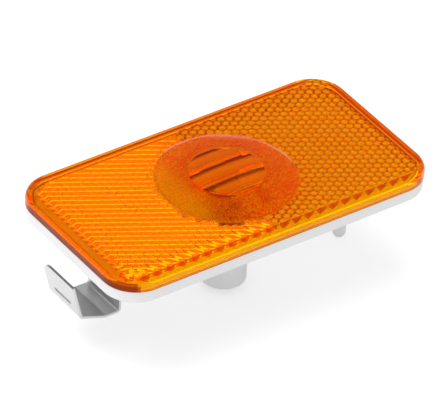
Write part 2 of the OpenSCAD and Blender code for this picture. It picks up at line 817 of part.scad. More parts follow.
// A contact on the +X side: the blade in the socket, its foot on the web and the spring
module contact() {
    translate([boss_x, 0, rim_h]) {
        translate([blade_x - contact_t / 2, -contact_w / 2, holder_low + blade_in])
            cube([contact_t, contact_w, foot_top - holder_low - blade_in]);
        translate([blade_x - contact_t / 2, -contact_w / 2, web_top + contact_foot_up])
            cube([contact_t, spring_y + contact_w, contact_foot_h]);
        translate([0, spring_y, 0])
            bent_sheet(spring_path, spring_bends, contact_t, contact_w);
    }
}

module contact_right() {
    color([0.8, 0.66, 0.35])
        contact();
}

module contact_left() {
    color([0.8, 0.66, 0.35])
    translate([boss_x, 0, 0])
        rotate([0, 0, 180])
            translate([-boss_x, 0, 0])
                contact();
}

module holder_seal() {
    color([0.5, 0.16, 0.12])
    translate([boss_x, 0, rim_h + ring_z])
        rotate_extrude()
            translate([ring_mid_r, 0])
                circle(ring_r);
}

lens();
housing();
spring_clip();
clip_screws();
bulb_glass();
lead_wire_left();
lead_wire_right();
filament();
bulb_holder();
contact_left();
contact_right();
holder_seal();
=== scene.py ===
"""Looks of a vehicle's side clearance lamp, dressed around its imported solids.

The lamp lies as in the frame: X along it, Y across it, Z out through the lens, and the origin in the
plane that seats on the panel. All lengths are in metres. Each sub-assembly is a class that dresses
its own nodes. No piece is added here: the prisms, the flutes and all other forms are in the solids.
"""

import logging
import math
from dataclasses import dataclass, field
from enum import Enum
from typing import Union

import bpy
from mathutils import Matrix, Vector


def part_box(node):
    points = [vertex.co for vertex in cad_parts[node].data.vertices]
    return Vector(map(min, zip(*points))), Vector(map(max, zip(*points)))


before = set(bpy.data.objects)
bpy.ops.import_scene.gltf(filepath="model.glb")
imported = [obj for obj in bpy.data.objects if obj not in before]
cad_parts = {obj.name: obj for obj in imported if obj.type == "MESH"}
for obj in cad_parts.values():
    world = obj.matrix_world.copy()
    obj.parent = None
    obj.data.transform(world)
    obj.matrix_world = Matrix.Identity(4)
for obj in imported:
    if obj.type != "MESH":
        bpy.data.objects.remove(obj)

MM = 0.001
WHITE = (1.0, 1.0, 1.0, 1.0)
LOG = logging.getLogger("clearance_lamp")

Socket = bpy.types.NodeSocket
Value = Union[Socket, float]
Span = tuple[float, float]
Colour = tuple[float, float, float, float]


class Ray(Enum):
    """Kinds of rays that may see the stage in their own light."""

    CAMERA = "Is Camera Ray"
    GLOSS = "Is Glossy Ray"
    THROUGH = "Is Transmission Ray"


class Wiring:
    """Adds nodes to one node tree and links them."""

    def __init__(self, tree: bpy.types.NodeTree) -> None:
        """Keeps the tree.

        Args:
            tree: node tree of a material, a world or a group.
        """
        self.tree = tree

    def add(self, kind: str, **settings: object) -> bpy.types.Node:
        """Adds one node.

        Args:
            kind: the node's class name.
            settings: properties of the node, set by name.

        Returns:
            The new node.
        """
        node = self.tree.nodes.new(kind)
        for name, value in settings.items():
            setattr(node, name, value)
        return node

    def join(self, source: Socket, target: Socket) -> None:
        """Links an output socket to an input socket.

        Args:
            source: the output socket.
            target: the input socket.
        """
        self.tree.links.new(source, target)

    def feed(self, target: Socket, value: Union[Value, Colour]) -> None:
        """Sets an input from a plain value, or links it from a socket.

        Args:
            target: the input socket.
            value: a number, a colour or an output socket.
        """
        if isinstance(value, bpy.types.NodeSocket):
            self.join(value, target)
        else:
            target.default_value = value

    def math(self, operation: str, *values: Value) -> Socket:
        """Adds a Math node.

        Args:
            operation: name of the operation.
            values: its inputs, numbers or sockets.

        Returns:
            The output socket.
        """
        node = self.add("ShaderNodeMath", operation=operation)
        for slot, value in zip(node.inputs, values):
            self.feed(slot, value)
        return node.outputs[0]

    def above(self, value: Value, low: Value) -> Socket:
        """Builds the mask of the places where a value is more than a bound."""
        return self.math("GREATER_THAN", value, low)

    def below(self, value: Value, high: Value) -> Socket:
        """Builds the mask of the places where a value is less than a bound."""
        return self.math("LESS_THAN", value, high)

    def within(self, value: Value, low: Value, high: Value) -> Socket:
        """Builds the mask of the places where a value lies between two bounds."""
        return self.all_of(self.above(value, low), self.below(value, high))

    def any_of(self, *masks: Socket) -> Socket:
        """Joins masks into their highest value, so that any of them sets it."""
        joined = masks[0]
        for mask in masks[1:]:
            joined = self.math("MAXIMUM", joined, mask)
        return joined

    def all_of(self, *masks: Socket) -> Socket:
        """Joins masks into their product, so that all of them have to be set."""
        joined = masks[0]
        for mask in masks[1:]:
            joined = self.math("MULTIPLY", joined, mask)
        return joined

    def ramp(self, value: Socket, source: Span, result: Span = (0.0, 1.0)) -> Socket:
        """Maps a value from one range to another with smooth ends.

        Args:
            value: the input socket.
            source: start and end of the value's range.
            result: what they become.

        Returns:
            The output socket.
        """
        node = self.add("ShaderNodeMapRange", interpolation_type="SMOOTHSTEP")
        self.join(value, node.inputs["Value"])
        names = ("From Min", "From Max", "To Min", "To Max")
        for name, bound in zip(names, (*source, *result)):
            node.inputs[name].default_value = bound
        return node.outputs["Result"]

    def noise(self, place: Socket, scale: float, detail: float = 1.0,
              roughness: float = 0.5) -> Socket:
        """Adds a noise texture on a place.

        Args:
            place: vector socket.
            scale: waves a metre.
            detail: octaves.
            roughness: share of the fine octaves.

        Returns:
            The factor socket.
        """
        node = self.add("ShaderNodeTexNoise")
        node.inputs["Scale"].default_value = scale
        node.inputs["Detail"].default_value = detail
        node.inputs["Roughness"].default_value = roughness
        self.join(place, node.inputs["Vector"])
        return node.outputs["Fac"]

    def mix(self, kind: str, factor: Value, first: object, second: object) -> Socket:
        """Adds a Mix node of one kind of data.

        Args:
            kind: FLOAT or RGBA.
            factor: share of the second input.
            first: value or socket.
            second: value or socket.

        Returns:
            The mixed socket.
        """
        node = self.add("ShaderNodeMix", data_type=kind)
        self.feed(node.inputs["Factor"], factor)
        self.feed(node.inputs["A"], first)
        self.feed(node.inputs["B"], second)
        return node.outputs["Result"]

    def blend(self, factor: Value, first: Value, second: Value) -> Socket:
        """Mixes two values, with the factor as the share of the second."""
        return self.mix("FLOAT", factor, first, second)

    def mix_colour(self, factor: Value, first: object, second: object) -> Socket:
        """Mixes two colours, with the factor as the share of the second."""
        return self.mix("RGBA", factor, first, second)

    def parts(self, vector: Socket) -> tuple[Socket, Socket, Socket]:
        """Splits a vector into its three parts."""
        node = self.add("ShaderNodeSeparateXYZ")
        self.join(vector, node.inputs[0])
        return node.outputs["X"], node.outputs["Y"], node.outputs["Z"]

    def length(self, vector: Socket) -> Socket:
        """Measures the length of a vector."""
        node = self.add("ShaderNodeVectorMath", operation="LENGTH")
        self.join(vector, node.inputs[0])
        return node.outputs["Value"]

    def bump(self, height: Socket, strength: Value, distance: float) -> Socket:
        """Turns a height into a bumpy normal.

        Args:
            height: height socket.
            strength: share of the height that shows.
            distance: height of a full bump.

        Returns:
            The normal socket.
        """
        node = self.add("ShaderNodeBump")
        self.feed(node.inputs["Strength"], strength)
        node.inputs["Distance"].default_value = distance
        self.join(height, node.inputs["Height"])
        return node.outputs[0]


def new_material(name: str) -> tuple[bpy.types.Material, Wiring, bpy.types.Node]:
    """Starts a material with a Principled shader.

    Args:
        name: the material's name.

    Returns:
        The material, its wiring and its Principled node.
    """
    material = bpy.data.materials.new(name)
    material.use_nodes = True
    wires = Wiring(material.node_tree)
    shader = material.node_tree.nodes["Principled BSDF"]
    return material, wires, shader


def object_place(wires: Wiring) -> Socket:
    """Adds the object coordinates, in which every pattern of a piece lies."""
    return wires.add("ShaderNodeTexCoord").outputs["Object"]


@dataclass(frozen=True)
class SurfaceGrain:
    """Shared grain of moulded and rolled surfaces.

    Attributes:
        cloud_scale: waves a metre of the cloudy shade.
        cloud_detail: its octaves.
        fine_scale: waves a metre of the fine height.
        fine_detail: its octaves.
    """

    cloud_scale: float = 90.0
    cloud_detail: float = 3.0
    fine_scale: float = 2600.0
    fine_detail: float = 2.0

    def build(self) -> bpy.types.NodeTree:
        """Builds the grain as a node group.

        Returns:
            The node group, with Place, Scale, Shade and Height sockets.
        """
        group = bpy.data.node_groups.new("surface_grain", "ShaderNodeTree")
        group.interface.new_socket("Place", in_out="INPUT", socket_type="NodeSocketVector")
        scale = group.interface.new_socket("Scale", in_out="INPUT", socket_type="NodeSocketFloat")
        scale.default_value = 1.0
        group.interface.new_socket("Shade", in_out="OUTPUT", socket_type="NodeSocketFloat")
        group.interface.new_socket("Height", in_out="OUTPUT", socket_type="NodeSocketFloat")
        wires = Wiring(group)
        start = wires.add("NodeGroupInput")
        end = wires.add("NodeGroupOutput")
        place = wires.add("ShaderNodeVectorMath", operation="SCALE")
        wires.join(start.outputs["Place"], place.inputs[0])
        wires.join(start.outputs["Scale"], place.inputs["Scale"])
        cloud = wires.noise(place.outputs[0], self.cloud_scale, self.cloud_detail)
        fine = wires.noise(place.outputs[0], self.fine_scale, self.fine_detail)
        wires.join(cloud, end.inputs["Shade"])
        wires.join(fine, end.inputs["Height"])
        return group


@dataclass(frozen=True)
class LensPlan:
    """Where the zones of the lens lie.

    Attributes:
        split_x: where the two halves of the prism field meet.
        border_x: half the length inside the smooth border.
        border_y: half the width inside it.
        face_z: height above which a surface belongs to the front.
        prism_top: height below which a surface belongs to the prisms.
        window_r: radius of the lamp window.
        frost_r: outer radius of the frosting.
        field_hole: radius of the hole in the prism field round the window.
        optic_r: radius of the clear optic in the window.
        dome_top: height of the dome's top.
        dome_r: radius of the window's dome.
        dome_wall: wall of the dome.
    """

    split_x: float = -1.2 * MM
    border_x: float = 55.8 * MM
    border_y: float = 27.8 * MM
    face_z: float = 8.5 * MM
    prism_top: float = 6.6 * MM
    window_r: float = 22.8 * MM
    frost_r: float = 23.0 * MM
    field_hole: float = 22.9 * MM
    optic_r: float = 12.3 * MM
    dome_top: float = 12.53 * MM
    dome_r: float = 66.0 * MM
    dome_wall: float = 2.0 * MM


@dataclass(frozen=True)
class LensSpot:
    """Sockets that tell where a point of the lens lies and how its surface stands.

    Attributes:
        place: the point.
        x: its place along the lamp.
        y: its place across the lamp.
        z: its height.
        out: its distance from the window's axis.
        lean_y: share of the surface's normal that lies across the lamp, without its sign.
        lean_z: share of the normal that lies out of the lens, without its sign.
    """

    place: Socket
    x: Socket
    y: Socket
    z: Socket
    out: Socket
    lean_y: Socket
    lean_z: Socket

    @classmethod
    def read(cls, wires: Wiring) -> "LensSpot":
        """Adds the nodes that find the spot.

        Args:
            wires: wiring of the lens's material.

        Returns:
            The sockets.
        """
        place = object_place(wires)
        x, y, z = wires.parts(place)
        _, lean_y, lean_z = wires.parts(wires.add("ShaderNodeNewGeometry").outputs["True Normal"])
        flat = wires.add("ShaderNodeCombineXYZ")
        wires.join(x, flat.inputs["X"])
        wires.join(y, flat.inputs["Y"])
        out = wires.length(flat.outputs[0])
        return cls(place, x, y, z, out, wires.math("ABSOLUTE", lean_y), wires.math("ABSOLUTE", lean_z))


@dataclass(frozen=True)
class PrismField:
    """Tones of the reflex prisms: even over the left half; on each prism of the right, a painted
    highlight with painted shade between.

    Attributes:
        tint: colour over the left half, and of both halves' backs.
        pale: colour of a painted highlight, one to each prism.
        deep: painted shade between the highlights.
        end_face_painted_shade: painted shade on the prisms' upright end faces.
        pitch: from one prism to the next.
        middle: place of one bright spot, along the lamp and across it.
        turns: directions of the three waves whose sum peaks in each spot.
        rise: the sum between the spots and inside them.
        upright: largest share of Z in the normal of an end face.
        near_band: how far the near end faces lie from the border, either way.
        left_band: how far the left end faces reach in from the border.
    """

    tint: Colour = (1.0, 0.68, 0.05, 1.0)
    pale: Colour = (1.0, 1.0, 0.03, 1.0)
    deep: Colour = (0.45, 0.0, 0.0, 1.0)
    end_face_painted_shade: Colour = (0.25, 0.03, 0.0, 1.0)
    pitch: float = 2.7 * MM
    middle: tuple[float, float] = (-0.24 * MM, 0.48 * MM)
    turns: tuple[float, ...] = (0.0, 60.0, 120.0)
    rise: Span = (-1.5, 0.3)
    upright: float = 0.1
    near_band: float = 0.556 * MM
    left_band: float = 2.5 * MM

    def spots(self, wires: Wiring, spot: LensSpot) -> Socket:
        """Builds the mask of the painted highlights, one to each hexagon.

        Three waves at 60 degrees to each other add up to peaks on a hexagonal lattice.

        Args:
            wires: wiring of the lens's material.
            spot: where on the lens.

        Returns:
            Socket from 0 between the spots to 1 inside them.
        """
        wave = 4.0 * math.pi / (math.sqrt(3.0) * self.pitch)
        along = wires.math("SUBTRACT", spot.x, self.middle[0])
        across = wires.math("SUBTRACT", spot.y, self.middle[1])
        total = 0.0
        for turn in self.turns:
            turned = math.radians(turn)
            part = wires.math("MULTIPLY", along, wave * math.cos(turned))
            part = wires.math("MULTIPLY_ADD", across, wave * math.sin(turned), part)
            total = wires.math("ADD", wires.math("COSINE", part), total)
        return wires.ramp(total, self.rise)

    def tone(self, wires: Wiring, spot: LensSpot, plan: LensPlan) -> Socket:
        """Builds the colour of both halves, with the painted highlights and painted shade on the right.

        Args:
            wires: wiring of the lens's material.
            spot: where on the lens.
            plan: zones of the lens.

        Returns:
            The colour socket.
        """
        right_half = wires.all_of(
            wires.above(spot.z, plan.face_z), wires.above(spot.out, plan.field_hole),
            wires.within(spot.x, plan.split_x, plan.border_x),
            wires.within(spot.y, -plan.border_y, plan.border_y))
        # painted highlight on each prism of the right half, with painted shade between them
        painted_spot_tone = wires.mix_colour(self.spots(wires, spot), self.deep, self.pale)
        return wires.mix_colour(right_half, self.tint, painted_spot_tone)

    def end_faces(self, wires: Wiring, spot: LensSpot, plan: LensPlan) -> Socket:
        """Builds the mask of the upright faces that end the prisms at the near and the left border.

        Args:
            wires: wiring of the lens's material.
            spot: where on the lens.
            plan: zones of the lens.

        Returns:
            The mask socket.
        """
        near = wires.within(spot.y, -plan.border_y - self.near_band, -plan.border_y + self.near_band)
        left = wires.below(spot.x, -plan.border_x + self.left_band)
        return wires.all_of(wires.below(spot.z, plan.prism_top), wires.below(spot.lean_z, self.upright),
                            wires.any_of(near, left))


@dataclass(frozen=True)
class LensBorder:
    """Tones of the smooth border, with painted light on its near side and a line of painted shade
    inside its edge.

    Attributes:
        tint: colour of the ends and of the far side.
        near_painted_light: painted light on the near side, which looks lit brighter.
        rim_line_painted_shade: painted shade, the dark line just inside the border's edge.
        rim_line_band: where the line starts and ends, out from the border's inner edge.
    """

    tint: Colour = (1.0, 0.52, 0.0, 1.0)
    near_painted_light: Colour = (1.0, 0.8, 0.0, 1.0)
    rim_line_painted_shade: Colour = (0.5, 0.05, 0.0, 1.0)
    rim_line_band: Span = (0.7 * MM, 1.5 * MM)

    def tone(self, wires: Wiring, spot: LensSpot, plan: LensPlan, inner: Socket) -> Socket:
        """Lays the border round the colour inside it.

        Args:
            wires: wiring of the lens's material.
            spot: where on the lens.
            plan: zones of the lens.
            inner: colour inside the border.

        Returns:
            The colour socket.
        """
        start, end = self.rim_line_band
        sides = wires.any_of(wires.above(wires.math("ABSOLUTE", spot.x), plan.border_x),
                             wires.above(spot.y, plan.border_y))
        # painted shade: a dark line just inside the border's far and right edges
        rim_line_mask = wires.all_of(wires.above(spot.z, plan.face_z), wires.any_of(
            wires.within(spot.x, plan.border_x + start, plan.border_x + end),
            wires.within(spot.y, plan.border_y + start, plan.border_y + end)))
        # painted light: the border's near side is lighter than its ends and far side
        tone = wires.mix_colour(wires.below(spot.y, -plan.border_y), inner, self.near_painted_light)
        tone = wires.mix_colour(sides, tone, self.tint)
        return wires.mix_colour(rim_line_mask, tone, self.rim_line_painted_shade)


@dataclass(frozen=True)
class Shade:
    """A soft oval in the frosted window, where something inside lies in the dark.

    Attributes:
        x: its middle along the lamp.
        y: its middle across the lamp.
        half_x: half its length.
        half_y: half its width.
        depth: how dark its middle is.
        fade: shares of its half sizes between which it fades.
    """

    x: float
    y: float
    half_x: float
    half_y: float
    depth: float
    fade: Span = (0.35, 1.15)

    def mask(self, wires: Wiring, place: Socket) -> Socket:
        """Builds the oval's mask.

        Args:
            wires: wiring of the material.
            place: vector socket with the place on the lens.

        Returns:
            Socket from 0 outside to the shade's depth in its middle.
        """
        shift = wires.add("ShaderNodeVectorMath", operation="SUBTRACT")
        wires.join(place, shift.inputs[0])
        shift.inputs[1].default_value = (self.x, self.y, 0.0)
        scale = wires.add("ShaderNodeVectorMath", operation="MULTIPLY")
        wires.join(shift.outputs[0], scale.inputs[0])
        scale.inputs[1].default_value = (1.0 / self.half_x, 1.0 / self.half_y, 0.0)
        return wires.ramp(wires.length(scale.outputs[0]), self.fade, (self.depth, 0.0))


@dataclass(frozen=True)
class LampWindow:
    """Tones of the domed window: a frosted, speckled ring round a clear fluted optic, with painted
    light and painted shade on both.

    Attributes:
        pale: colour between the specks.
        deep: colour of the specks.
        bright: painted light on the ring's left side.
        dark: colour inside the shades.
        optic: colour of the optic's flat parts.
        flute_side_painted_shade: painted shade on the flutes' steep sides.
        speck_scale: waves a metre of the specks.
        speck_rise: noise between the specks and inside them.
        bright_rise: where along the lamp the bright side starts and is full.
        bright_share: share of the bright colour at most.
        steep_rise: share of Y in the normal where a flute's side starts and is full.
        shades: dark ovals in the ring.
    """

    pale: Colour = (1.0, 0.8, 0.0, 1.0)
    deep: Colour = (1.0, 0.13, 0.0, 1.0)
    bright: Colour = (1.0, 1.0, 0.0, 1.0)
    dark: Colour = (0.6, 0.05, 0.0, 1.0)
    optic: Colour = (1.0, 0.28, 0.0, 1.0)
    flute_side_painted_shade: Colour = (0.05, 0.0, 0.0, 1.0)
    speck_scale: float = 1500.0
    speck_rise: Span = (0.45, 0.55)
    bright_rise: Span = (-11.0 * MM, -18.0 * MM)
    bright_share: float = 0.6
    steep_rise: Span = (0.34, 0.5)
    shades: tuple[Shade, ...] = (
        Shade(3.4 * MM, -14.0 * MM, 3.6 * MM, 7.0 * MM, 0.75),
        Shade(-6.8 * MM, -14.6 * MM, 2.4 * MM, 2.0 * MM, 0.85),
        Shade(7.0 * MM, 13.0 * MM, 15.0 * MM, 8.0 * MM, 0.55),
        Shade(-2.0 * MM, 0.5 * MM, 16.5 * MM, 15.0 * MM, 0.7))

    def inner_face(self, wires: Wiring, spot: LensSpot, plan: LensPlan) -> Socket:
        """Builds the mask of what lies deeper than half the dome's wall, with the dome as a parabola.

        Args:
            wires: wiring of the lens's material.
            spot: where on the lens.
            plan: zones of the lens.

        Returns:
            The mask socket.
        """
        drop = wires.math("DIVIDE", wires.math("MULTIPLY", spot.out, spot.out), 2 * plan.dome_r)
        depth = wires.math("SUBTRACT", wires.math("SUBTRACT", plan.dome_top, drop), spot.z)
        return wires.above(depth, plan.dome_wall / 2)

    def tone(self, wires: Wiring, spot: LensSpot, frosted: Socket, optic: Socket,
             plan: LensPlan) -> Socket:
        """Builds the window's colour.

        Args:
            wires: wiring of the lens's material.
            spot: where on the lens.
            frosted: mask of the frosted ring.
            optic: mask of the optic.
            plan: zones of the lens.

        Returns:
            The colour socket.
        """
        specks = wires.ramp(wires.noise(spot.place, self.speck_scale), self.speck_rise)
        specks = wires.all_of(specks, wires.above(spot.out, plan.optic_r))
        # painted light: the window grows lighter towards its left side
        bright = wires.math("MULTIPLY", wires.ramp(spot.x, self.bright_rise), self.bright_share)
        shade = wires.any_of(*(shade.mask(wires, spot.place) for shade in self.shades))
        steep = wires.ramp(spot.lean_y, self.steep_rise)
        tone = wires.mix_colour(specks, self.pale, self.deep)
        tone = wires.mix_colour(bright, tone, self.bright)
        tone = wires.mix_colour(wires.all_of(frosted, shade), tone, self.dark)
        tone = wires.mix_colour(optic, tone, self.optic)
        # painted shade on the optic flutes' steep sides, picked by the surface's lean
        return wires.mix_colour(wires.all_of(optic, steep), tone, self.flute_side_painted_shade)


@dataclass(frozen=True)
class AmberAcrylic:
    """Amber acrylic whose surface tints light by zones, with painted light and painted shade in some of
    them, and whose body takes up the blue.

    Attributes:
        name: the material's name.
        plan: zones of the lens.
        prisms: tones of the prism field.
        border: tones of the border.
        window: tones of the lamp window.
        body: colour that the acrylic lets through.
        density: how fast it takes up the rest, a metre.
        ior: how strongly it bends light.
        sheen_tint: colour of the light that its surface throws back.
        glow: painted light, a faint glow of its own that stands in for the light the lens gathers from
            all round.
        polish: roughness where it is clear.
        frost: roughness where it is frosted.
        sand_scale: waves a metre of the frosting.
        sand_roughness: share of its fine octaves.
        sand_strength: share of its height that shows.
        sand_height: height of the frosting.
    """

    name: str = "amber_acrylic"
    plan: LensPlan = LensPlan()
    prisms: PrismField = PrismField()
    border: LensBorder = LensBorder()
    window: LampWindow = LampWindow()
    body: Colour = (1.0, 0.982, 0.0, 1.0)
    density: float = 1300.0
    ior: float = 1.585
    sheen_tint: Colour = (1.0, 0.45, 0.05, 1.0)
    glow: Colour = (0.06, 0.006, 0.0, 1.0)
    polish: float = 0.015
    frost: float = 0.32
    sand_scale: float = 3200.0
    sand_roughness: float = 0.6
    sand_strength: float = 0.8
    sand_height: float = 0.25 * MM

    def build(self) -> bpy.types.Material:
        """Builds the acrylic: prisms, smooth border, frosted window and fluted optic.

        Returns:
            The material.
        """
        material, wires, shader = new_material(self.name)
        plan = self.plan
        spot = LensSpot.read(wires)
        inner = self.window.inner_face(wires, spot, plan)
        frosted = wires.all_of(inner, wires.within(spot.out, plan.optic_r, plan.frost_r))
        optic = wires.all_of(inner, wires.below(spot.out, plan.optic_r))

        ends = self.prisms.end_faces(wires, spot, plan)
        tone = self.border.tone(wires, spot, plan, self.prisms.tone(wires, spot, plan))
        # painted shade on the prisms' upright end faces at the near and the left border
        tone = wires.mix_colour(ends, tone, self.prisms.end_face_painted_shade)
        window = self.window.tone(wires, spot, frosted, optic, plan)
        tone = wires.mix_colour(wires.below(spot.out, plan.window_r), tone, window)
        wires.join(tone, shader.inputs["Base Color"])

        sand = wires.noise(spot.place, self.sand_scale, roughness=self.sand_roughness)
        strength = wires.math("MULTIPLY", frosted, self.sand_strength)
        wires.join(wires.bump(sand, strength, self.sand_height), shader.inputs["Normal"])
        wires.join(wires.blend(frosted, self.polish, self.frost), shader.inputs["Roughness"])
        # painted light: a faint amber glow from the lens, which is no lamp
        shader.inputs["Emission Color"].default_value = self.glow
        shader.inputs["Emission Strength"].default_value = 1.0
        shader.inputs["IOR"].default_value = self.ior
        shader.inputs["Specular Tint"].default_value = self.sheen_tint
        shader.inputs["Transmission Weight"].default_value = 1.0
        absorb = wires.add("ShaderNodeVolumeAbsorption")
        absorb.inputs["Color"].default_value = self.body
        absorb.inputs["Density"].default_value = self.density
        end = material.node_tree.nodes["Material Output"]
        wires.join(absorb.outputs[0], end.inputs["Volume"])
        return material


@dataclass(frozen=True)
class MouldedPlastic:
    """Moulded plastic with a faint cloudy shade and a fine grain.

    Attributes:
        name: the material's name.
        pale: colour at one end of the shade.
        dark: colour at the other.
        roughness: its usual roughness.
        scale: how much finer the grain is than on the housing.
        relief: share of the grain's height that shows.
        grain_height: height of the grain.
        cloud: range of the shade over which the roughness changes.
        spread: how far the roughness goes below and above its usual value.
    """

    name: str
    pale: Colour
    dark: Colour
    roughness: float = 0.42
    scale: float = 1.0
    relief: float = 0.04
    grain_height: float = 0.1 * MM
    cloud: Span = (0.2, 0.8)
    spread: Span = (-0.05, 0.06)

    def build(self, grain: bpy.types.NodeTree) -> bpy.types.Material:
        """Builds the plastic.

        Args:
            grain: the shared grain group.

        Returns:
            The material.
        """
        material, wires, shader = new_material(self.name)
        skin = wires.add("ShaderNodeGroup", node_tree=grain)
        wires.join(object_place(wires), skin.inputs["Place"])
        skin.inputs["Scale"].default_value = self.scale
        shade, height = skin.outputs["Shade"], skin.outputs["Height"]
        wires.join(wires.mix_colour(shade, self.pale, self.dark), shader.inputs["Base Color"])
        least, most = (self.roughness + part for part in self.spread)
        wires.join(wires.ramp(shade, self.cloud, (least, most)), shader.inputs["Roughness"])
        wires.join(wires.bump(height, self.relief, self.grain_height), shader.inputs["Normal"])
        return material


@dataclass(frozen=True)
class RolledMetal:
    """Sheet or wire metal with fine rolling lines along one axis.

    Attributes:
        name: the material's name.
        pale: colour at one end of the shade.
        dark: colour at the other.
        roughness: its usual roughness.
        along: how much finer the lines are along each axis.
        line_scale: waves a metre of the lines.
        line_detail: their octaves.
        relief: share of the lines' height that shows.
        line_height: height of the lines.
        line_range: range of the lines over which the roughness changes.
        spread: how far the roughness goes below and above its usual value.
    """

    name: str
    pale: Colour
    dark: Colour
    roughness: float = 0.25
    along: tuple[float, float, float] = (1.0, 14.0, 1.0)
    line_scale: float = 900.0
    line_detail: float = 4.0
    relief: float = 0.08
    line_height: float = 0.05 * MM
    line_range: Span = (0.25, 0.75)
    spread: Span = (-0.05, 0.08)

    def build(self, grain: bpy.types.NodeTree) -> bpy.types.Material:
        """Builds the metal.

        Args:
            grain: the shared grain group.

        Returns:
            The material.
        """
        material, wires, shader = new_material(self.name)
        place = object_place(wires)
        stretch = wires.add("ShaderNodeMapping")
        stretch.inputs["Scale"].default_value = self.along
        wires.join(place, stretch.inputs["Vector"])
        lines = wires.noise(stretch.outputs[0], self.line_scale, self.line_detail)
        skin = wires.add("ShaderNodeGroup", node_tree=grain)
        wires.join(place, skin.inputs["Place"])
        tone = wires.mix_colour(skin.outputs["Shade"], self.pale, self.dark)
        wires.join(tone, shader.inputs["Base Color"])
        least, most = (self.roughness + part for part in self.spread)
        wires.join(wires.ramp(lines, self.line_range, (least, most)), shader.inputs["Roughness"])
        wires.join(wires.bump(lines, self.relief, self.line_height), shader.inputs["Normal"])
        shader.inputs["Metallic"].default_value = 1.0
        return material


@dataclass(frozen=True)
class BlownGlass:
    """Clear blown glass of the bulb, with faint waves from its blowing.

    Attributes:
        name: the material's name.
        tint: its colour.
        ior: how strongly it bends light.
        wave_scale: waves a metre.
        relief: share of the waves' height that shows.
        wave_height: height of the waves.
        wave_range: range of the waves over which the roughness changes.
        roughness: least and most roughness.
    """

    name: str = "bulb_glass_clear"
    tint: Colour = (0.97, 0.98, 0.99, 1.0)
    ior: float = 1.5
    wave_scale: float = 160.0
    relief: float = 0.1
    wave_height: float = 0.1 * MM
    wave_range: Span = (0.3, 0.7)
    roughness: Span = (0.0, 0.02)

    def build(self) -> bpy.types.Material:
        """Builds the glass.

        Returns:
            The material.
        """
        material, wires, shader = new_material(self.name)
        waves = wires.noise(object_place(wires), self.wave_scale)
        wires.join(wires.bump(waves, self.relief, self.wave_height), shader.inputs["Normal"])
        wires.join(wires.ramp(waves, self.wave_range, self.roughness), shader.inputs["Roughness"])
        shader.inputs["Base Color"].default_value = self.tint
        shader.inputs["IOR"].default_value = self.ior
        shader.inputs["Transmission Weight"].default_value = 1.0
        return material


def dress(node: str, material: bpy.types.Material) -> None:
    """Gives a node of the frame its material on every slot.

    Args:
        node: name of the node.
        material: what it is made of.
    """
    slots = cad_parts[node].data.materials
    slots.clear()
    slots.append(material)
    LOG.info("%s dressed in %s", node, material.name)


@dataclass
class LensFront:
    """The amber lens."""

    finish: AmberAcrylic = field(default_factory=AmberAcrylic)

    def build(self) -> None:
        """Dresses the lens."""
        dress("lens", self.finish.build())


@dataclass
class HousingBack:
    """The grey housing with its boss and pin."""

    finish: MouldedPlastic = MouldedPlastic(
        "grey_plastic", (0.91, 0.91, 0.915, 1.0), (0.87, 0.87, 0.875, 1.0))

    def build(self, grain: bpy.types.NodeTree) -> None:
        """Dresses the housing.

        Args:
            grain: the shared grain group.
        """
        dress("housing", self.finish.build(grain))


@dataclass
class ClipSet:
    """The spring clip and its two screws."""

    steel: RolledMetal = RolledMetal(
        "spring_steel", (0.86, 0.86, 0.86, 1.0), (0.74, 0.74, 0.75, 1.0), 0.32)
    plated: RolledMetal = RolledMetal(
        "zinc_plate", (0.72, 0.73, 0.75, 1.0), (0.6, 0.61, 0.63, 1.0), 0.3, (1.0, 1.0, 1.0))

    def build(self, grain: bpy.types.NodeTree) -> None:
        """Dresses the clip and the screws.

        Args:
            grain: the shared grain group.
        """
        dress("spring_clip", self.steel.build(grain))
        dress("clip_screws", self.plated.build(grain))


@dataclass
class BulbSet:
    """The glass bulb with its wires and filament."""

    glass: BlownGlass = field(default_factory=BlownGlass)
    wire: RolledMetal = RolledMetal(
        "nickel_wire", (0.75, 0.74, 0.72, 1.0), (0.62, 0.61, 0.6, 1.0), 0.25, (1.0, 1.0, 8.0))
    tungsten: RolledMetal = RolledMetal(
        "tungsten", (0.32, 0.32, 0.33, 1.0), (0.22, 0.22, 0.23, 1.0), 0.4, (1.0, 1.0, 1.0))

    def build(self, grain: bpy.types.NodeTree) -> None:
        """Dresses the bulb.

        Args:
            grain: the shared grain group.
        """
        dress("bulb_glass", self.glass.build())
        wire = self.wire.build(grain)
        dress("lead_wire_left", wire)
        dress("lead_wire_right", wire)
        dress("filament", self.tungsten.build(grain))


@dataclass
class HolderSet:
    """The bulb holder with its contacts and seal."""

    nylon: MouldedPlastic = MouldedPlastic(
        "black_nylon", (0.035, 0.035, 0.037, 1.0), (0.02, 0.02, 0.022, 1.0), 0.45, 1.4, 0.08)
    brass: RolledMetal = RolledMetal(
        "brass_strip", (0.82, 0.62, 0.28, 1.0), (0.7, 0.5, 0.2, 1.0), 0.25, (1.0, 1.0, 10.0))
    rubber: MouldedPlastic = MouldedPlastic(
        "seal_rubber", (0.07, 0.06, 0.06, 1.0), (0.045, 0.04, 0.04, 1.0), 0.7, 1.8, 0.12)

    def build(self, grain: bpy.types.NodeTree) -> None:
        """Dresses the holder.

        Args:
            grain: the shared grain group.
        """
        dress("bulb_holder", self.nylon.build(grain))
        brass = self.brass.build(grain)
        dress("contact_left", brass)
        dress("contact_right", brass)
        dress("holder_seal", self.rubber.build(grain))


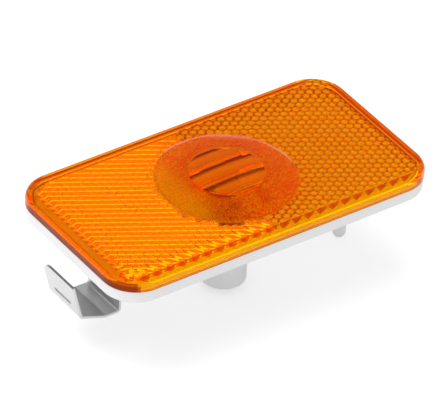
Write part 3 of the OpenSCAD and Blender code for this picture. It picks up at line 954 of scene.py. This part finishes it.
@dataclass
class Viewpoint:
    """The camera at the photograph's viewing angle.

    Attributes:
        azimuth: turn about the lamp's upright axis, in degrees.
        elevation: height over the lamp's plane, in degrees.
        roll: lean of the picture, in degrees.
        distance: from the lamp to the camera.
        right: how far right of the picture's middle the lamp lies.
        up: how far above it the lamp lies.
        joint: height of the joint between lens and housing, which the camera aims at.
        sensor: width of the sensor, in mm.
        lens: focal length, in mm.
        reach: farthest distance that the camera sees.
    """

    azimuth: float = -37.01
    elevation: float = 36.905
    roll: float = 3.455
    distance: float = 2.0088
    right: float = 1.312 * MM
    up: float = 4.818 * MM
    joint: float = 4.45 * MM
    sensor: float = 36.0
    lens: float = 520.1
    reach: float = 30.0

    def build(self) -> None:
        """Adds the camera and makes it the scene's own."""
        turn, lift, lean = (math.radians(a) for a in (self.azimuth, self.elevation, self.roll))
        flat = math.cos(lift)
        back = Vector((math.sin(turn) * flat, -math.cos(turn) * flat, math.sin(lift)))
        level = Vector((math.cos(turn), math.sin(turn), 0.0))
        rise = back.cross(level)
        across = math.cos(lean) * level + math.sin(lean) * rise
        upward = math.cos(lean) * rise - math.sin(lean) * level
        aim = Vector((0, 0, self.joint)) - self.right * across - self.up * upward
        place = Matrix.Translation(aim + self.distance * back)
        data = bpy.data.cameras.new("camera")
        data.sensor_width = self.sensor
        data.sensor_fit = "HORIZONTAL"
        data.lens = self.lens
        data.clip_end = self.reach
        camera = bpy.data.objects.new("camera", data)
        bpy.context.scene.collection.objects.link(camera)
        camera.matrix_world = place @ Matrix((across, upward, back)).transposed().to_4x4()
        bpy.context.scene.camera = camera


@dataclass(frozen=True)
class SoftLamp:
    """A soft square lamp that looks at the middle of the stage.

    Attributes:
        name: the lamp's name.
        power: watts.
        size: edge of the lamp.
        place: where it hangs.
    """

    name: str
    power: float
    size: float
    place: tuple[float, float, float]

    def hang(self) -> None:
        """Adds the lamp, unseen by gloss and through glass."""
        data = bpy.data.lights.new(self.name, "AREA")
        data.energy = self.power
        data.size = self.size
        lamp = bpy.data.objects.new(self.name, data)
        bpy.context.scene.collection.objects.link(lamp)
        lamp.location = self.place
        lamp.rotation_euler = Vector(self.place).to_track_quat("Z", "Y").to_euler()
        lamp.visible_glossy = False
        lamp.visible_transmission = False


@dataclass
class Studio:
    """Pale floor, white surroundings and soft lamps.

    Attributes:
        floor_size: edge of the floor.
        floor_shade: grey of the floor, which keeps the lamp's shadow.
        floor_roughness: its roughness.
        floor_glow: light of its own that brings it to white for the camera.
        floor_mirror: light of its own, as gloss and rays through glass see it.
        floor_bounce: light of its own, as all other rays see it.
        horizon: level of the world low down, as gloss sees it.
        zenith: level higher up, as gloss sees it.
        gloss_rise: share of Z in a direction, from the horizon's end to the zenith's start.
        front: level of the world towards front_way, for rays that went through glass or the lens.
        rear: its level away from front_way, for the same rays.
        front_way: direction of the front's middle, from the lens up over the camera.
        front_rise: how much of front_way a direction has, from the rear's end to the front's start.
        bowl: level for those of them that were scattered on a piece before.
        least_scatter: a ray counts as scattered when it was more often than this.
        surround: level for all other rays but the camera's own, which see white.
        lamps: the soft lamps.
        all_bounces: most bounces of a ray.
        lens_bounces: most of them by gloss, and most of them through glass or the lens.
    """

    floor_size: float = 12.0
    floor_shade: float = 0.4
    floor_roughness: float = 0.9
    floor_glow: float = 0.64
    floor_mirror: float = 0.36
    floor_bounce: float = 0.25
    horizon: float = 1.0
    zenith: float = 0.1
    gloss_rise: Span = (0.05, 0.12)
    front: float = 1.08
    rear: float = 0.1
    front_way: tuple[float, float, float] = (-0.301, -0.4, 0.866)
    front_rise: Span = (0.2, 0.6)
    bowl: float = 1.65
    least_scatter: float = 0.5
    surround: float = 0.7
    lamps: tuple[SoftLamp, ...] = (
        SoftLamp("overhead_lamp", 24.0, 1.3, (-0.25, 0.25, 1.3)),
        SoftLamp("side_lamp", 1.0, 0.9, (-1.4, -0.9, 0.6)))
    all_bounces: int = 24
    lens_bounces: int = 20

    def build(self) -> None:
        """Builds the floor, the world and the lamps, and sets how often a ray may bounce."""
        self.lay_floor()
        self.light_world()
        for lamp in self.lamps:
            lamp.hang()
        paths = bpy.context.scene.cycles
        paths.max_bounces = self.all_bounces
        paths.glossy_bounces = self.lens_bounces
        paths.transmission_bounces = self.lens_bounces

    def lay_floor(self) -> None:
        """Lays the floor under the lowest piece, white for the camera but for the lamp's shadow."""
        low = min(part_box(node)[0].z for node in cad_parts)
        bpy.ops.object.select_all(action="DESELECT")
        bpy.ops.mesh.primitive_plane_add(size=self.floor_size, location=(0.0, 0.0, low))
        floor = bpy.context.active_object
        floor.name = "floor"
        bpy.ops.object.transform_apply(location=True, rotation=True, scale=True)
        material, wires, shader = new_material("floor_paper")
        shader.inputs["Base Color"].default_value = (self.floor_shade,) * 3 + (1.0,)
        shader.inputs["Roughness"].default_value = self.floor_roughness
        shader.inputs["Specular IOR Level"].default_value = 0.0
        shader.inputs["Emission Color"].default_value = WHITE
        path = wires.add("ShaderNodeLightPath")
        mirrored = wires.any_of(path.outputs[Ray.GLOSS.value], path.outputs[Ray.THROUGH.value])
        glow = wires.blend(mirrored, self.floor_bounce, self.floor_mirror)
        glow = wires.blend(path.outputs[Ray.CAMERA.value], glow, self.floor_glow)
        wires.join(glow, shader.inputs["Emission Strength"])
        floor.data.materials.append(material)

    def light_world(self) -> None:
        """Sets the surroundings: white for the camera, dark overhead for gloss."""
        world = bpy.data.worlds.new("studio")
        bpy.context.scene.world = world
        world.use_nodes = True
        wires = Wiring(world.node_tree)
        direction = wires.add("ShaderNodeTexCoord").outputs["Generated"]
        _, _, height = wires.parts(direction)
        fading = wires.ramp(height, self.gloss_rise, (self.horizon, self.zenith))
        facing = wires.add("ShaderNodeVectorMath", operation="DOT_PRODUCT")
        wires.join(direction, facing.inputs[0])
        facing.inputs[1].default_value = self.front_way
        thrown = wires.ramp(facing.outputs["Value"], self.front_rise, (self.rear, self.front))
        path = wires.add("ShaderNodeLightPath")
        scattered = wires.above(path.outputs["Diffuse Depth"], self.least_scatter)
        through = wires.blend(scattered, thrown, self.bowl)
        level = self.surround
        for ray, seen in ((Ray.GLOSS, fading), (Ray.THROUGH, through), (Ray.CAMERA, 1.0)):
            level = wires.blend(path.outputs[ray.value], level, seen)
        back = world.node_tree.nodes["Background"]
        wires.join(level, back.inputs["Strength"])
        back.inputs["Color"].default_value = WHITE


def main() -> None:
    """Builds the camera, the studio and every sub-assembly."""
    logging.basicConfig(level=logging.INFO, format="%(name)s: %(message)s")
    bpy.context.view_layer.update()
    Viewpoint().build()
    Studio().build()
    grain = SurfaceGrain().build()
    LensFront().build()
    for assembly in (HousingBack(), ClipSet(), BulbSet(), HolderSet()):
        assembly.build(grain)
    bpy.context.scene.view_settings.view_transform = "Standard"


if __name__ == "__main__":
    main()
